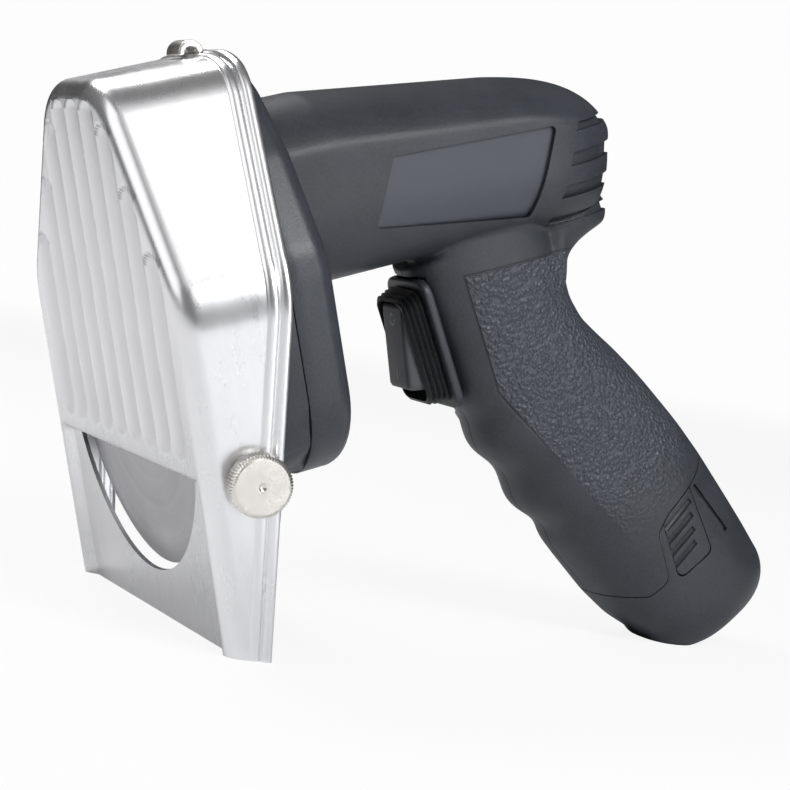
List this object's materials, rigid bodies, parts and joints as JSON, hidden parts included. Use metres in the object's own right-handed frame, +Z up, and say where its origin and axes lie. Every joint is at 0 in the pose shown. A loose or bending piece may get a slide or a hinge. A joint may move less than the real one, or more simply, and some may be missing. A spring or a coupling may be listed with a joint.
{
  "type": "electric kebab slicer",
  "caption": "Cordless hand slicer for kebab meat: round blade behind a fluted cast guard, geared motor in a pistol-grip body, booted rocker switch and stick battery.",
  "frame": {"origin": "middle of the bounding box, on the ground the slicer stands on", "axes": "+X from the nose to the grip, +Y to the right of someone holding it, +Z up; the blade axis is pitched 20 degrees nose down"},
  "size_m": [0.2582, 0.1482, 0.1742],
  "materials": {
    "cast": "polished casting",
    "nickel": "bright nickel",
    "steel": "fine turned",
    "dark_steel": "satin",
    "plastic": "moulded, fine grain",
    "casing": "moulded, fine grain",
    "rubber": "soft matt",
    "magnet": "sintered",
    "brass": "plated",
    "wrap": "shrink wrap"
  },
  "bodies": {
    "housing": {"guard_hook": "nickel", "idler_pin": "steel", "spindle_bearing_front": "steel", "spindle_bearing_rear": "steel", "spindle_seal": "rubber", "gear_case_front": "casing", "gear_case_rear": "casing", "case_screw_1": "dark_steel", "case_screw_2": "dark_steel", "case_screw_3": "dark_steel", "case_screw_4": "dark_steel", "motor_can": "steel", "motor_magnet_upper": "magnet", "motor_magnet_lower": "magnet", "motor_end_cap": "plastic", "body_shell_left": "plastic", "body_shell_right": "plastic", "body_screw_1": "dark_steel", "body_screw_2": "dark_steel", "body_screw_3": "dark_steel", "body_screw_4": "dark_steel", "body_screw_5": "dark_steel", "body_screw_6": "dark_steel", "switch_frame": "plastic", "switch_body": "plastic", "switch_boot": "rubber", "terminal_block": "plastic", "terminal_contact_left": "brass", "terminal_contact_right": "brass"},
    "guard": {"guard": "cast"},
    "thumb_screw_left": {"thumb_screw_left": "nickel"},
    "thumb_screw_right": {"thumb_screw_right": "nickel"},
    "blade": {"blade": "steel", "blade_hub": "steel", "blade_screw": "steel", "spindle": "dark_steel", "spindle_gear": "dark_steel"},
    "idler": {"idler_gear": "dark_steel"},
    "rotor": {"motor_rotor": "dark_steel", "motor_pinion": "dark_steel"},
    "rocker": {"switch_rocker": "rubber"},
    "battery": {"battery_case": "plastic", "battery_cap": "plastic", "battery_cell_1": "wrap", "battery_cell_2": "wrap"},
    "battery_latch_left": {"battery_latch_left": "plastic"},
    "battery_latch_right": {"battery_latch_right": "plastic"}
  },
  "joints": [
    {"name": "guard_swing", "type": "hinge", "parent": "housing", "child": "guard", "pos_m": [-0.09274, 0, 0.16241], "axis": [0, -1, 0], "range_deg": [0, 1.2]},
    {"name": "thumb_left_turn", "type": "hinge", "parent": "housing", "child": "thumb_screw_left", "pos_m": [-0.08488, -0.06523, 0.04928], "axis": [-0.1308, -0.9903, -0.0476], "range_deg": [0, 720]},
    {"name": "thumb_right_turn", "type": "hinge", "parent": "housing", "child": "thumb_screw_right", "pos_m": [-0.08488, 0.06523, 0.04928], "axis": [-0.1308, 0.9903, -0.0476], "range_deg": [0, 720]},
    {"name": "blade_spin", "type": "hinge", "parent": "housing", "child": "blade", "pos_m": [-0.10215, 0, 0.06108], "axis": [0.9397, 0, 0.342], "continuous": true},
    {"name": "idler_spin", "type": "hinge", "parent": "housing", "child": "idler", "pos_m": [-0.08149, 0, 0.09201], "axis": [0.9397, 0, 0.342], "continuous": true},
    {"name": "motor_spin", "type": "hinge", "parent": "housing", "child": "rotor", "pos_m": [-0.06116, 0, 0.12389], "axis": [0.9397, 0, 0.342], "continuous": true},
    {"name": "switch_rock", "type": "hinge", "parent": "housing", "child": "rocker", "pos_m": [-0.00461, 0, 0.0892], "axis": [0, -1, 0], "range_deg": [0, 20]},
    {"name": "battery_slide", "type": "slide", "parent": "housing", "child": "battery", "axis": [0.6947, 0, -0.7193], "range_m": [0, 0.065]},
    {"name": "latch_left_press", "type": "slide", "parent": "battery", "child": "battery_latch_left", "axis": [0, 1, 0], "range_m": [0, 0.0018], "stiffness_N_per_m": 600},
    {"name": "latch_right_press", "type": "slide", "parent": "battery", "child": "battery_latch_right", "axis": [0, -1, 0], "range_m": [0, 0.0018], "stiffness_N_per_m": 600}
  ],
  "couplings": [
    {"joint": "idler_spin", "follows": "blade_spin", "ratio": -2.6667},
    {"joint": "motor_spin", "follows": "blade_spin", "ratio": 5}
  ]
}
